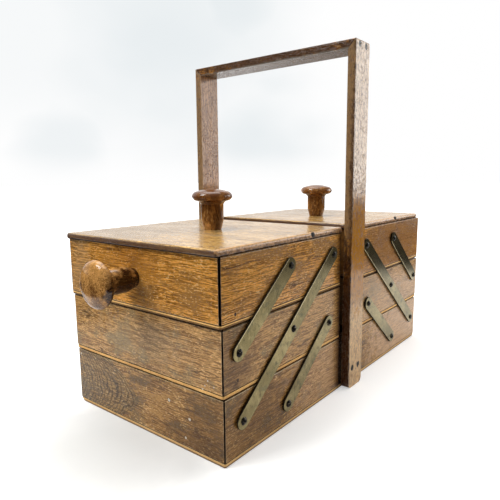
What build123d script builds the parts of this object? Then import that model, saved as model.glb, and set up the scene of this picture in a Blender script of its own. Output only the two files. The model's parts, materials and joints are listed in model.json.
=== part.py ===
from build123d import *
import os
from math import asin, cos, hypot, sin, sqrt

# Sewing carrier in millimetres: a bottom box with a tall handle, and on each side of the handle a
# wing of two stacked trays that swing up and outwards on flat brass arms. The top trays have
# lift-off lids. The origin is on the floor under the middle of the box, +X runs along the box to
# the right wing, -Y is the front and +Z is up. Every piece lies where it is with both wings closed.

# box and trays
box_length = 418.0          # bottom box, over its end boards
carcase_depth = 202.8       # over the front and rear boards, the same at every level
box_height = 57.6           # with its base board
tray_height = 57.1          # with its base board
tray_rest_gap = 0.8         # air under a closed tray, which its arms carry
tray_end_step = 1.0         # each outer end stands this far past the one below it
left_top_extra = 1.0        # and the left top tray this much further
centre_gap = 38.0           # between the inner ends of the left and right trays
side_board = 9.0
base_board = 4.0
board_ease = 0.8            # rounding of the side boards' outer arrises
base_corner = 2.0           # rounding of a base board, seen from above
box_base_lower_ease = 1.0
tray_base_lower_ease = 1.6
base_upper_ease = 0.7
corner_wear = 9.0           # reach of the wear on the bottom box's rear left and front right feet
low_mitre_gap = 0.9         # shrinkage gap in the corner mitres, bottom box and middle trays
top_mitre_gap = 1.5

# brass arms and their pivots
arm_width = 15.0
arm_thickness = 1.6
arm_edge = 0.35             # chamfer round the outer face
arm_gap = 1.0               # between an arm and the boards it crosses
outer_pivot_setback = 21.2  # foot of the long arm, in from the bottom box's end
inner_pivot_setback = 20.2  # head of the long arm, in from the top tray's inner end
foot_pivot_height = 33.5    # foot of the long arm, above the floor
head_pivot_drop = 19.6      # head of the long arm, below the top rim
lower_arm_foot_height = 22.9
lower_arm_head_setback = 28.3   # in from the middle tray's inner end
upper_arm_foot_setback = 17.6   # in from the middle tray's outer end

# screws
pivot_shank_radius = 1.9
pivot_head_radius = 3.5
pivot_head_height = 2.0
pivot_play = 0.06           # radial, between a shank and the arm that turns on it
head_play = 0.1             # under a pivot screw's head
thread_fit = 0.02           # radial, between a shank and the wood that holds it
screw_tip_cover = 1.5       # wood left in front of a screw's tip
slot_width = 0.9
slot_depth = 0.9
handle_shank_radius = 1.8
handle_head_radius = 3.4
handle_screw_spacing = 14.0
foot_screw_height = 22.5
top_screw_length = 26.0
first_slot_turn = 20        # degrees; each next pivot screw's slot is turned on by slot_step
slot_step = 37
handle_slot_step = 50
foot_slot_turn = 75
top_slot_turn = 15

# handle
handle_height = 368.4
post_width = 30.8
handle_board = 8.8
packing_thickness = 1.2
packing_inset = 1.0         # the packing stops short of the post's edges
post_foot_corner = 6.0
handle_ease = 1.0
handle_mitre_gap = 0.3

# lids
lid_thickness = 6.0
left_lid_overhang = 3.2     # past the top tray's outer end
right_lid_overhang = -0.8
left_lid_setback = 0.5      # behind the carcase's front and rear faces
right_lid_setback = 2.4
left_lid_knob = 109.0       # from the middle of the carrier
right_lid_knob = 98.7
lid_handle_gap = 0.8        # between the lid's inner edge and the handle, seen from above
lid_corner = 2.6
lid_upper_ease = 2.4
lid_lower_ease = 2.0
cleat_width = 12.0
cleat_depth = 6.0
cleat_play = 1.0            # between the cleats and the tray's inside faces

# turned knobs, measured down from the crown
lid_knob_height = 41.8
end_knob_height = 44.5
knob_head_radius = 20.9
knob_face_radius = 15.5     # edge of the domed face
knob_face_drop = 2.4
knob_rim_drop = 7.5         # widest circle
knob_under_radius = 16.2    # where the cove under the head starts
knob_under_drop = 12.2
knob_upper_bulge = (1.6, 4.3)   # a point on the rim's upper curve: in from the widest circle, drop
knob_lower_bulge = (1.1, 10.2)  # the same on its lower curve
knob_neck_radius = 11.6
knob_neck_drop = 15.8
knob_cove = 1.2             # the cove's hollow, out from the neck at mid height
knob_shoulder_height = 10.0     # the neck tapers below this
knob_foot_radius = 9.0
knob_screw_radius = 1.9
knob_screw_hold = 16.0      # length of screw inside the knob
end_knob_drop = 27.9        # its centre, below the top rim
end_knob_offset = 2.0       # its centre, to the rear of the middle
end_slot_turn = 35          # degrees, the slots of the screws that hold the knobs
lid_slot_turn = 80

# levels and places that follow from the dimensions
tray_pitch = tray_rest_gap + tray_height
middle_floor = box_height + tray_rest_gap
top_floor = middle_floor + tray_pitch
top_rim = top_floor + tray_height
front_face = carcase_depth / 2
box_end = box_length / 2
tray_inner = centre_gap / 2
middle_outer = box_end + tray_end_step
top_outer = {
    "left": middle_outer + tray_end_step + left_top_extra,
    "right": middle_outer + tray_end_step,
}
arm_face = front_face + arm_gap
lid_inner = post_width / 2 + lid_handle_gap
post_near = front_face + packing_thickness
post_far = post_near + handle_board

# pivots of the right wing as (x, z); the left wing has them at -x
long_foot = (box_end - outer_pivot_setback, foot_pivot_height)
long_head = (tray_inner + inner_pivot_setback, top_rim - head_pivot_drop)
step_in = (long_foot[0] - long_head[0]) / 2
step_up = (long_head[1] - long_foot[1]) / 2


def one_level_up(pivot):
    """The pivot at the other end of an arm that reaches one level up and inwards."""
    return (pivot[0] - step_in, pivot[1] + step_up)


long_middle = one_level_up(long_foot)
lower_foot = (tray_inner + lower_arm_head_setback + step_in, lower_arm_foot_height)
lower_head = one_level_up(lower_foot)
upper_foot = (middle_outer - upper_arm_foot_setback, long_middle[1])
upper_head = one_level_up(upper_foot)

box_pivots = [long_foot, lower_foot]
middle_pivots = [long_middle, lower_head, upper_foot]
top_pivots = [long_head, upper_head]

SIDES = {"left": -1, "right": 1}
FACES = {"front": -1, "rear": 1}
parts = {}


def block(x, y, z):
    """A box between two values on each axis, given in either order."""
    size = [abs(b - a) for a, b in (x, y, z)]
    centre = [(a + b) / 2 for a, b in (x, y, z)]
    return Pos(*centre) * Box(*size)


def turned(edges):
    """A solid turned about Z from an outline in the XZ plane, which closes along the axis."""
    outline = Curve() + edges
    return revolve(make_face(Plane.XZ * outline), Axis.Z)


def dome(radius, drop, crown_height):
    """The arc of a spherical cap, from its edge up to its crown on the axis."""
    sphere = (radius**2 + drop**2) / (2 * drop)
    half_turn = asin(radius / sphere) / 2
    middle = (sphere * sin(half_turn), crown_height - sphere * (1 - cos(half_turn)))
    return ThreePointArc((radius, crown_height - drop), middle, (0, crown_height))


def shank(radius, length, top):
    """The outline of a pointed shank, from its tip at z = -length up to the given level."""
    shoulder = (radius, 2 * radius - length)
    return [Line((0, -length), shoulder), Line(shoulder, (radius, top))]


def round_head_screw(radius, length, turn):
    """A slotted round-head screw along Z. Its head is above z = 0 and its shank below."""
    seat = Line((radius, 0), (pivot_head_radius, 0))
    cap = dome(pivot_head_radius, pivot_head_height, pivot_head_height)
    axis = Line((0, pivot_head_height), (0, -length))
    slot = Box(3 * pivot_head_radius, slot_width, 2 * slot_depth)
    slot = Pos(0, 0, pivot_head_height) * Rot(0, 0, turn) * slot
    return turned(shank(radius, length, 0) + [seat, cap, axis]) - slot


def sunk_head_screw(radius, length, turn):
    """A slotted countersunk screw along Z with its head flush at z = 0."""
    neck = (radius, radius - handle_head_radius)
    rim = (handle_head_radius, 0)
    head = [Line(neck, rim), Line(rim, (0, 0)), Line((0, 0), (0, -length))]
    slot = Box(3 * handle_head_radius, slot_width, 2 * slot_depth)
    return turned(shank(radius, length, neck[1]) + head) - Rot(0, 0, turn) * slot


def sunk_hole(length):
    """The hole that a countersunk handle screw fills."""
    radius = handle_shank_radius + thread_fit
    rim = handle_head_radius + thread_fit
    shaft = Pos(0, 0, -length / 2) * Cylinder(radius, length + 2 * thread_fit)
    flare = Pos(0, 0, (radius - rim) / 2) * Cone(radius, rim, rim - radius)
    return shaft + flare


def facing(x, y, z, face):
    """A plane whose +Z points out of the front (-1) or rear (+1) face of the carrier."""
    return Plane(origin=(x, y, z), x_dir=(1, 0, 0), z_dir=(0, face, 0))


def drilled(board, pivots, face):
    """The board with a pilot hole for each pivot screw, from its outer face inwards."""
    depth = side_board - screw_tip_cover + thread_fit
    for x, z in pivots:
        hole = Pos(0, 0, -depth / 2) * Cylinder(pivot_shank_radius + thread_fit, depth)
        board -= facing(x, face * front_face, z, face) * hole
    return board


def mitred_frame(x_low, x_high, z_low, z_high, gap):
    """Front, rear, low-x end and high-x end boards, with a gap left in each corner mitre."""
    slip = gap / sqrt(2)
    y = front_face
    envelope = block((x_low, x_high), (-y, y), (z_low, z_high))
    envelope = fillet(envelope.edges(), board_ease)
    long_outline = [
        (x_low + slip, -y),
        (x_high - slip, -y),
        (x_high - side_board - slip, -y + side_board),
        (x_low + side_board + slip, -y + side_board),
    ]
    end_outline = [
        (x_low, -y + slip),
        (x_low, y - slip),
        (x_low + side_board, y - side_board - slip),
        (x_low + side_board, -y + side_board + slip),
    ]
    middle = (x_low + x_high) / 2
    boards = []
    for outline, plane in ((long_outline, Plane.XZ), (end_outline, Plane.YZ.offset(middle))):
        face = make_face(Polyline(*outline, close=True))
        prism = Pos(0, 0, z_low) * extrude(face, z_high - z_low)
        boards.append(prism & envelope)
        boards.append(mirror(prism, about=plane) & envelope)
    return boards


def base_panel(x_low, x_high, z_low, lower_ease):
    """A base board under a frame, flush with its faces, with rounded corners and edges."""
    panel = block((x_low, x_high), (-front_face, front_face), (z_low, z_low + base_board))
    panel = fillet(panel.edges().filter_by(Axis.Z), base_corner)
    panel = fillet(panel.faces().sort_by(Axis.Z)[0].edges(), lower_ease)
    return fillet(panel.faces().sort_by(Axis.Z)[-1].edges(), base_upper_ease)


def knob(height):
    """A turned knob of this height standing on z = 0, drilled from below for its screw."""
    face_edge = (knob_face_radius, height - knob_face_drop)
    widest = (knob_head_radius, height - knob_rim_drop)
    under = (knob_under_radius, height - knob_under_drop)
    neck_top = (knob_neck_radius, height - knob_neck_drop)
    shoulder = (knob_neck_radius, knob_shoulder_height)
    foot = (knob_foot_radius, 0)
    upper_bulge = (knob_head_radius - knob_upper_bulge[0], height - knob_upper_bulge[1])
    lower_bulge = (knob_head_radius - knob_lower_bulge[0], height - knob_lower_bulge[1])
    cove = (knob_neck_radius + knob_cove, height - (knob_under_drop + knob_neck_drop) / 2)
    body = turned(
        [
            Line((0, 0), foot),
            Line(foot, shoulder),
            Line(shoulder, neck_top),
            ThreePointArc(neck_top, cove, under),
            ThreePointArc(under, lower_bulge, widest),
            ThreePointArc(widest, upper_bulge, face_edge),
            dome(knob_face_radius, knob_face_drop, height),
            Line((0, height), (0, 0)),
        ]
    )
    depth = knob_screw_hold + thread_fit
    return body - Pos(0, 0, depth / 2) * Cylinder(knob_screw_radius + thread_fit, depth)


def arm(pivots, face):
    """A flat strip with round ends, drilled at its pivots, lying on the front or rear face."""
    (x0, z0), (x1, z1) = pivots[0], pivots[-1]
    reach = hypot(x1 - x0, z1 - z0)
    strip = extrude(Pos(reach / 2, 0) * SlotCenterToCenter(reach, arm_width), arm_thickness)
    strip = chamfer(strip.faces().sort_by(Axis.Z)[-1].edges(), arm_edge)
    for x, z in pivots:
        along = hypot(x - x0, z - z0)
        strip -= Pos(along, 0) * Cylinder(pivot_shank_radius + pivot_play, 4 * arm_thickness)
    lie = Plane(origin=(x0, face * arm_face, z0), x_dir=(x1 - x0, 0, z1 - z0), z_dir=(0, face, 0))
    return lie * strip


def pivot_screws(pivots, sides):
    """One round-head screw at each pivot, front and rear, each slot turned its own way."""
    seat = arm_face + arm_thickness + head_play
    length = seat - front_face + side_board - screw_tip_cover
    screws = []
    for side in sides:
        for face in FACES.values():
            for x, z in pivots:
                turn = (first_slot_turn + slot_step * len(screws)) % 180
                screw = round_head_screw(pivot_shank_radius, length, turn)
                screws.append(facing(side * x, face * seat, z, face) * screw)
    return Compound(children=screws)


def handle_screws(height, length, first_turn):
    """Two countersunk screws through each post at one height."""
    screws = []
    for face in FACES.values():
        for x in (-handle_screw_spacing / 2, handle_screw_spacing / 2):
            turn = first_turn + handle_slot_step * len(screws)
            screw = sunk_head_screw(handle_shank_radius, length, turn)
            screws.append(facing(x, face * post_far, height, face) * screw)
    return Compound(children=screws)


def handle_holes(piece, height, length):
    """The piece with the holes of the handle screws at one height."""
    for face in FACES.values():
        for x in (-handle_screw_spacing / 2, handle_screw_spacing / 2):
            piece -= facing(x, face * post_far, height, face) * sunk_hole(length)
    return piece


foot_screw_length = handle_board + packing_thickness + side_board - screw_tip_cover
top_screw_height = handle_height - handle_board / 2


def worn_off(side, face):
    """What wear has taken off a foot of the bottom box, out of a ball that holds the rest."""
    ball = 1.01 * sqrt(2) * corner_wear
    inner_x = side * (box_end - corner_wear)
    inner_y = face * (front_face - corner_wear)
    cube = block((inner_x, side * box_end), (inner_y, face * front_face), (0, corner_wear))
    return cube - Pos(inner_x, inner_y, corner_wear) * Sphere(ball)


def make_bottom_box():
    front, rear, left_end, right_end = mitred_frame(
        -box_end, box_end, base_board, box_height, low_mitre_gap
    )
    for name, board, face in (("front", front, -1), ("rear", rear, 1)):
        board = drilled(board, [(s * x, z) for s in SIDES.values() for x, z in box_pivots], face)
        parts["bottom_box_" + name] = handle_holes(board, foot_screw_height, foot_screw_length)
    parts["bottom_box_left_end"] = left_end
    parts["bottom_box_right_end"] = right_end
    parts["bottom_box_base"] = base_panel(-box_end, box_end, 0, box_base_lower_ease)
    for end, x, face, y in (("left", -1, "rear", 1), ("right", 1, "front", -1)):
        for name in ("base", end + "_end", face):
            parts["bottom_box_" + name] -= worn_off(x, y)
    parts["bottom_box_pivot_screws"] = pivot_screws(box_pivots, SIDES.values())


def make_tray(name, side, outer, floor, pivots, gap):
    low, high = sorted((side * tray_inner, side * outer))
    rim = floor + tray_height
    front, rear, low_end, high_end = mitred_frame(low, high, floor + base_board, rim, gap)
    places = [(side * x, z) for x, z in pivots]
    parts[name + "_front"] = drilled(front, places, -1)
    parts[name + "_rear"] = drilled(rear, places, 1)
    parts[name + "_inner_end"] = low_end if side > 0 else high_end
    parts[name + "_outer_end"] = high_end if side > 0 else low_end
    parts[name + "_base"] = base_panel(low, high, floor, tray_base_lower_ease)
    parts[name + "_pivot_screws"] = pivot_screws(pivots, [side])


def make_end_knob(side_name, side, outer):
    """The pull knob on a top tray's outer end, and the screw that holds it from inside."""
    centre = (side * outer, end_knob_offset, top_rim - end_knob_drop)
    outwards = Plane(origin=centre, x_dir=(0, 1, 0), z_dir=(side, 0, 0))
    shank_hole = Cylinder(knob_screw_radius + thread_fit, 3 * side_board)
    parts[side_name + "_top_tray_outer_end"] -= outwards * shank_hole
    parts[side_name + "_end_knob"] = outwards * knob(end_knob_height)
    length = side_board + knob_screw_hold
    inwards = Rot(180, 0, 0) * round_head_screw(knob_screw_radius, length, end_slot_turn)
    parts[side_name + "_end_knob_screw"] = outwards * (Pos(0, 0, -side_board) * inwards)


def make_lid(side_name, side, outer, overhang, setback, knob_place):
    low, high = sorted((side * lid_inner, side * (outer + overhang)))
    half_depth = front_face - setback
    lid = block((low, high), (-half_depth, half_depth), (top_rim, top_rim + lid_thickness))
    lid = fillet(lid.edges().filter_by(Axis.Z), lid_corner)
    lid = fillet(lid.faces().sort_by(Axis.Z)[-1].edges(), lid_upper_ease)
    lid = fillet(lid.faces().sort_by(Axis.Z)[0].edges(), lid_lower_ease)
    upwards = Pos(side * knob_place, 0, top_rim + lid_thickness)
    shank_hole = Cylinder(knob_screw_radius + thread_fit, 3 * lid_thickness)
    parts[side_name + "_lid"] = lid - upwards * shank_hole
    parts[side_name + "_lid_knob"] = upwards * knob(lid_knob_height)
    length = lid_thickness + knob_screw_hold
    screw = Rot(180, 0, 0) * round_head_screw(knob_screw_radius, length, lid_slot_turn)
    parts[side_name + "_lid_knob_screw"] = Pos(side * knob_place, 0, top_rim) * screw
    cleat_end = front_face - side_board - cleat_play
    cleats = []
    for wall, inwards in ((tray_inner + side_board, 1), (outer - side_board, -1)):
        near = wall + inwards * cleat_play
        far = near + inwards * cleat_width
        reach = (side * near, side * far)
        cleats.append(block(reach, (-cleat_end, cleat_end), (top_rim - cleat_depth, top_rim)))
    parts[side_name + "_lid_cleats"] = Compound(children=cleats)


def make_arms(side_name, side):
    for face_name, face in FACES.items():
        arms = {
            "long": [long_foot, long_middle, long_head],
            "lower": [lower_foot, lower_head],
            "upper": [upper_foot, upper_head],
        }
        for arm_name, pivots in arms.items():
            places = [(side * x, z) for x, z in pivots]
            parts[f"{side_name}_{face_name}_{arm_name}_arm"] = arm(places, face)


def make_handle():
    half = post_width / 2
    envelope = block((-half, half), (-post_far, post_far), (0, handle_height))
    along_y = envelope.edges().filter_by(Axis.Y).sort_by(Axis.Z)
    envelope = fillet(along_y[:2], post_foot_corner)
    top_edges = envelope.faces().sort_by(Axis.Z)[-1].edges()
    envelope = fillet(top_edges, handle_ease)
    bar_low = handle_height - handle_board
    slip = handle_mitre_gap * sqrt(2)
    for face_name, face in FACES.items():
        outline = [
            (face * post_near, 0),
            (face * post_far, 0),
            (face * post_far, handle_height),
            (face * post_near, bar_low),
        ]
        post = extrude(Plane.YZ * make_face(Polyline(*outline, close=True)), half, both=True)
        post = handle_holes(post & envelope, foot_screw_height, foot_screw_length)
        post = handle_holes(post, top_screw_height, top_screw_length)
        parts[f"handle_{face_name}_post"] = post
    bar_outline = [
        (-post_far + slip, handle_height),
        (post_far - slip, handle_height),
        (post_near - slip, bar_low),
        (-post_near + slip, bar_low),
    ]
    bar = extrude(Plane.YZ * make_face(Polyline(*bar_outline, close=True)), half, both=True)
    parts["handle_crossbar"] = handle_holes(bar & envelope, top_screw_height, top_screw_length)
    packings = []
    for face in FACES.values():
        reach = (face * front_face, face * post_near)
        width = half - packing_inset
        packing = block((-width, width), reach, (base_board, box_height))
        packings.append(handle_holes(packing, foot_screw_height, foot_screw_length))
    parts["handle_packings"] = Compound(children=packings)
    parts["handle_foot_screws"] = handle_screws(foot_screw_height, foot_screw_length, foot_slot_turn)
    parts["handle_top_screws"] = handle_screws(top_screw_height, top_screw_length, top_slot_turn)


make_bottom_box()
for side_name, side in SIDES.items():
    make_tray(side_name + "_middle_tray", side, middle_outer, middle_floor, middle_pivots,
              low_mitre_gap)
    outer = top_outer[side_name]
    make_tray(side_name + "_top_tray", side, outer, top_floor, top_pivots, top_mitre_gap)
    make_end_knob(side_name, side, outer)
    make_arms(side_name, side)
make_lid("left", -1, top_outer["left"], left_lid_overhang, left_lid_setback, left_lid_knob)
make_lid("right", 1, top_outer["right"], right_lid_overhang, right_lid_setback, right_lid_knob)
make_handle()

os.makedirs("parts", exist_ok=True)
for name, piece in parts.items():
    export_step(piece, f"parts/{name}.step")
print(len(parts), "nodes")
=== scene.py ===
import json
import random
from itertools import count
from math import cos, radians, sin

import bpy
from mathutils import Matrix, Vector


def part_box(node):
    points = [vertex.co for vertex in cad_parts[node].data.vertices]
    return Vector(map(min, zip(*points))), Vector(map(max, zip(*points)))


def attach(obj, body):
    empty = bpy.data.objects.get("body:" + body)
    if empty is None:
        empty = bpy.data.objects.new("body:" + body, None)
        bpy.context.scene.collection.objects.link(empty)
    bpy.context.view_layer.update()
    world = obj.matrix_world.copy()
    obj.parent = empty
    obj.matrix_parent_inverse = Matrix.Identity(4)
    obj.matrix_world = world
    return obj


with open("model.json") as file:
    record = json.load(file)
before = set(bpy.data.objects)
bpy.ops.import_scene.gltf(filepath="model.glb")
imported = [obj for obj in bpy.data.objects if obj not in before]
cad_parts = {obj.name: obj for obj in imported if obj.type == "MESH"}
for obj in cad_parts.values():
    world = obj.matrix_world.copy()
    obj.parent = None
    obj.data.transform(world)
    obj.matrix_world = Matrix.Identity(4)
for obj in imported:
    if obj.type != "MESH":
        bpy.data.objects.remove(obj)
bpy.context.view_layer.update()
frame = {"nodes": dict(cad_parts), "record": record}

NODE_BODIES = {cad_node: body for body, cad_nodes in frame["record"]["behaviour"]["bodies"].items()
               for cad_node in cad_nodes}

# All distances are in metres and the origin is on the floor under the middle of the carrier
SIDES = {"left": -1, "right": 1}
FACES = {"front": -1, "rear": 1}
KNOB_PLACES = {"left": 0.109, "right": 0.0987}   # lid knobs, out from the middle
ARM_WIDTH = 0.015
ARM_EDGE_FADE = (0.10375, 0.10390)  # depths where an arm's dark edges give way to its outer face
ARM_ARRIS_HIGHLIGHT = (0.0010, 0.0006)        # start and full strength of the painted arris highlight, in from the edge

# Camera: in front of the left end, a little above the lids, looking along the front
CAMERA_PLACE = (-0.47676, -0.34191, 0.23388)
CAMERA_HEADING = radians(38.518)    # from +X towards +Y
CAMERA_DIP = radians(8.705)
CAMERA_ROLL = radians(-0.4825)
CAMERA_LENS = 34.86                 # millimetres, as the sensor
CAMERA_SENSOR = 36.0
NEAREST_SEEN = 0.01

# Stage: the paper's edges, each as a point and a direction away from the paper
PAPER_EDGES = (
    ((0.125, -0.380), (-0.26, -0.97)),
    ((0.654, -0.309), (0.88, -0.47)),
    ((-0.470, 0.175), (-0.80, 0.60)),
)
FLOOR_REACH = 12.0
PAPER = (0.80, 0.80, 0.79)
PAPER_SHADE = (0.59, 0.595, 0.575)
TABLE = (0.04, 0.035, 0.03)
NEAR_GLOW = 0.45                    # light given off by the paper under the carrier and far from it
FAR_GLOW = 1.0
SHADES = (                          # soft shades on the paper: place, reach, depth
    ((-0.252, 0.002), (0.082, 0.122), 0.92),
    ((-0.232, -0.060), (0.042, 0.062), 0.60),
    ((-0.135, -0.120), (0.110, 0.034), 0.15),
    ((-0.285, 0.005), (0.050, 0.090), 0.50),
)
BACKDROP_WAY = (0.64, 0.77, 0.0)    # from the camera towards the lit backdrop
BACKDROP_LEVEL = 1.0
CEILING_LEVEL = 0.25
ROOM_LEVEL = 0.08
CLOUDS = (                          # faint shades on the backdrop: direction, reach, share
    ((0.515, 0.854, 0.060), 0.140, 0.65),
    ((0.649, 0.715, 0.261), 0.360, 0.90),
    ((0.787, 0.611, 0.087), 0.190, 0.85),
    ((0.717, 0.624, 0.311), 0.140, 0.90),
)
CLOUD_COLOUR = (0.800, 0.845, 0.865)
WHITE = (1.0, 1.0, 1.0)
LAMPS = (                           # name, place, target, width and height, watts, colour
    ("window", (1.75, -1.35, 0.65), (0, 0, 0.15), (1.7, 1.1), 30, (1.0, 0.98, 0.95)),
    ("overhead", (0.1, 0.35, 1.9), (0, 0, 0.1), (1.6, 1.6), 32, WHITE),
    ("left fill", (-1.0, 0.45, 1.25), (-0.2, 0, 0.1), (0.6, 0.6), 14, WHITE),
)

# Colours, linear
OAK_PALE = (0.800, 0.370, 0.075)
OAK_DEEP = (0.250, 0.105, 0.017)
OAK_GREY = (0.340, 0.165, 0.045)
MIDDLE_PALE = (0.600, 0.330, 0.110)
MIDDLE_DEEP = (0.230, 0.110, 0.035)
MIDDLE_GREY = (0.240, 0.180, 0.090)
BOTTOM_PALE = (0.460, 0.240, 0.068)
BOTTOM_DEEP = (0.160, 0.072, 0.018)
BOTTOM_GREY = (0.180, 0.115, 0.050)
LID_PALE = (0.760, 0.460, 0.145)
LID_DEEP = (0.270, 0.145, 0.040)
LID_GREY = (0.380, 0.265, 0.140)
LID_SIDE = (0.088, 0.042, 0.033)
LID_EDGE = (0.720, 0.420, 0.160)
HANDLE_PALE = (0.520, 0.230, 0.052)
HANDLE_DEEP = (0.170, 0.058, 0.012)
HANDLE_GREY = (0.200, 0.090, 0.030)
HANDLE_DARK = (0.055, 0.026, 0.012)
# painted reflection of the pale floor on the crossbar's underside
CROSSBAR_UNDER_SHEEN = (0.170, 0.150, 0.120)
# Posts: the top, foot and pale tones are painted reflection of the window; the side tone is painted
# shading of the left faces, and the dark tone painted shade in the nook by the boxes. The gold is
# the wood's own.
POST_TOP_SHEEN = (0.860, 0.620, 0.400)
POST_SIDE_SHADE = (0.290, 0.180, 0.085)
POST_GOLD = (0.500, 0.205, 0.012)
POST_NOOK_SHADE = (0.060, 0.016, 0.003)
POST_FOOT_SHEEN = (0.860, 0.580, 0.290)
REAR_POST_SHEEN = (0.540, 0.320, 0.175)
LID_FRONT = (0.620, 0.340, 0.150)
LID_FAR = (0.230, 0.160, 0.090)
KNOB_PALE = (0.640, 0.320, 0.090)
KNOB_DEEP = (0.130, 0.048, 0.010)
# painted shade on the knobs: the necks' shaded sides, under the heads, the end knobs' feet and far
# rims; the end knobs' necks are also darker wood
KNOB_SHADE = (0.030, 0.008, 0.002)
KNOB_HEAD = (0.120, 0.038, 0.013)
PORE = (0.050, 0.018, 0.006)
PLY_PALE = (0.920, 0.540, 0.180)
PLY_DEEP = (0.480, 0.220, 0.065)
BASE_PALE = (0.600, 0.390, 0.190)
BASE_DEEP = (0.380, 0.215, 0.095)
PLY_BRIGHT = (1.000, 0.620, 0.210)
PLY_BROWN = (0.170, 0.080, 0.025)
INSIDE = (0.400, 0.245, 0.115)
WORN_EDGE = (0.700, 0.520, 0.300)
GLINT = (0.950, 0.620, 0.260)
# near-black: grime in the mitres, and painted shade in gaps, grooves and recesses
GRIME_AND_SHADE = (0.018, 0.010, 0.006)
# painted shade and dark reflection beside the handle posts
SHADE_BY_POST = (0.060, 0.020, 0.004)
ARC_DARK = (0.048, 0.028, 0.012)
FIELD_GREY = (0.72, 0.82, 1.00)
# painted shadow of the end knob on the top tray's end
END_KNOB_SHADOW = (0.055, 0.048, 0.028)
DARKER = (0.600, 0.570, 0.530)      # multiplies what is under it
HONEY = (0.490, 0.195, 0.020)
ROSY = (0.680, 0.420, 0.230)
ROSY_DEEP = (0.230, 0.105, 0.045)
BRASS_PALE = (0.310, 0.250, 0.115)
BRASS_DULL = (0.190, 0.152, 0.064)
BRASS_SMOKED = (0.074, 0.056, 0.013)
BRASS_DARK = (0.038, 0.031, 0.011)
BRASS_GREEN = (0.085, 0.088, 0.055)
BRASS_RUBBED = (0.480, 0.390, 0.200)
# painted highlight on an arm's arris
BRASS_ARRIS_HIGHLIGHT = (0.900, 0.780, 0.480)
STEEL_DARK = (0.014, 0.013, 0.013)
# painted glints on the screws
STEEL_GLINT = (0.280, 0.240, 0.170)
PAINT = (0.72, 0.66, 0.54)
PAINT_DULL = (0.48, 0.40, 0.28)
NICK = (0.020, 0.008, 0.004)
NICK_BROWN = (0.050, 0.022, 0.010)
STUD = (0.010, 0.007, 0.005)
STUD_WORN = (0.022, 0.015, 0.010)

# How the wood is drawn
GRAIN_LEAN = 0.03                   # radians, so that the rings surface along a board
GRAIN_SKEW = 0.015                  # most that a piece's grain is turned
GRAIN_SHIFT = 1.0                   # most that it is moved along the piece
PITH_SHIFT = 0.01                   # most that its pith is moved sideways
RING_WIDTH = 0.0030
NO_WIDTH = 0.00001                  # stands for none where a width divides
BUMP_DEPTH = 0.0002
ARC_SPACING = 0.0066
ARC_HALF_HEIGHT = 0.028
ARC_BOW = 0.008                     # how far the first arc bulges
ARC_BOW_GROWTH = 0.50               # more bulge for each metre along the board
END_ARCS = (0.101, 0.026, 0.098)    # on the end boards: where they start, middle height, length
LAYER_BLUR = 0.0001
INSIDE_FADE = (0.004, 0.006)        # in from a base's edge, where its inside colour sets in
RIM_START = (0.00004, 0.00012)      # below the top, so that the top face itself is left out

# Painted shade that sets in towards the carrier's middle or sides, in the form that dress_wood
# takes: on the right tray's inner end, shade in the gap between the trays; on the front and rear
# boards, the handle posts' shade and dark reflection; on the tray bases, shade in the gap between
# the trays
INNER_END_SHADE = ((1, 0.060, 0.082, GRIME_AND_SHADE, 0.82),)
POST_SHADE = ((0, 0.034, 0.017, SHADE_BY_POST, 0.85), (0, 0.0222, 0.0195, GRIME_AND_SHADE, 0.9))
BASE_GAP_SHADE = ((0, 0.0225, 0.0195, GRIME_AND_SHADE, 0.95),)

# Random seeds: the first of each group of pieces, and the steps within a lid's group
FIRST_SEEDS = {"carcase": 11, "lids": 60, "handle": 90}
CLEAT_SEED_STEP = 7
KNOB_SEED_STEP = 20

# Small marks
MARK_SEED = 7
MARK_SIZES = (0.8, 1.15)            # smallest and largest share of the given size
LUMP_SCALE = 700.0
LUMP_HEIGHT = 0.0006


# ---------------------------------------------------------------- node helpers

def fill(tree, sockets, values):
    """Gives each named socket a plain value or another node's output."""
    for name, value in values.items():
        socket = sockets[name]
        if isinstance(value, bpy.types.NodeSocket):
            tree.links.new(value, socket)
        else:
            socket.default_value = (*value[:3], 1.0) if socket.type == "RGBA" else value


def node(tree, kind, inputs=None, **settings):
    """Adds a node, which is a shader node unless its kind is a full name."""
    made = tree.nodes.new(kind if "Node" in kind else "ShaderNode" + kind)
    for name, value in settings.items():
        setattr(made, name, value)
    fill(tree, made.inputs, inputs or {})
    return made


def maths(tree, operation, *values, clamp=False):
    """A Math node's output. A third value and those after it go through a node each."""
    if len(values) > 2:
        values = maths(tree, operation, *values[:-1]), values[-1]
    inputs = dict(enumerate(values))
    return node(tree, "Math", inputs, operation=operation, use_clamp=clamp).outputs[0]


def product(tree, *values):
    """Numbers multiplied together."""
    return maths(tree, "MULTIPLY", *values)


def vector_maths(tree, operation, *values):
    """A vector operation whose result is a vector."""
    return node(tree, "VectorMath", dict(enumerate(values)), operation=operation).outputs[0]


def measure(tree, operation, *values):
    """A vector operation whose result is a number: a length, a distance or a dot product."""
    return node(tree, "VectorMath", dict(enumerate(values)), operation=operation).outputs[1]


def split(tree, vector):
    """A vector's three numbers."""
    return node(tree, "SeparateXYZ", {0: vector}).outputs


def ramp(tree, value, low, high, start=0.0, end=1.0):
    """Value between low and high, as a smooth step from start to end."""
    inputs = {"Value": value, "From Min": low, "From Max": high, "To Min": start, "To Max": end}
    return node(tree, "MapRange", inputs, interpolation_type="SMOOTHSTEP").outputs[0]


def tint(tree, factor, first, second, blend="MIX"):
    """Two colours mixed."""
    inputs = {0: factor, 6: first, 7: second}
    return node(tree, "Mix", inputs, data_type="RGBA", blend_type=blend).outputs[2]


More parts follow.
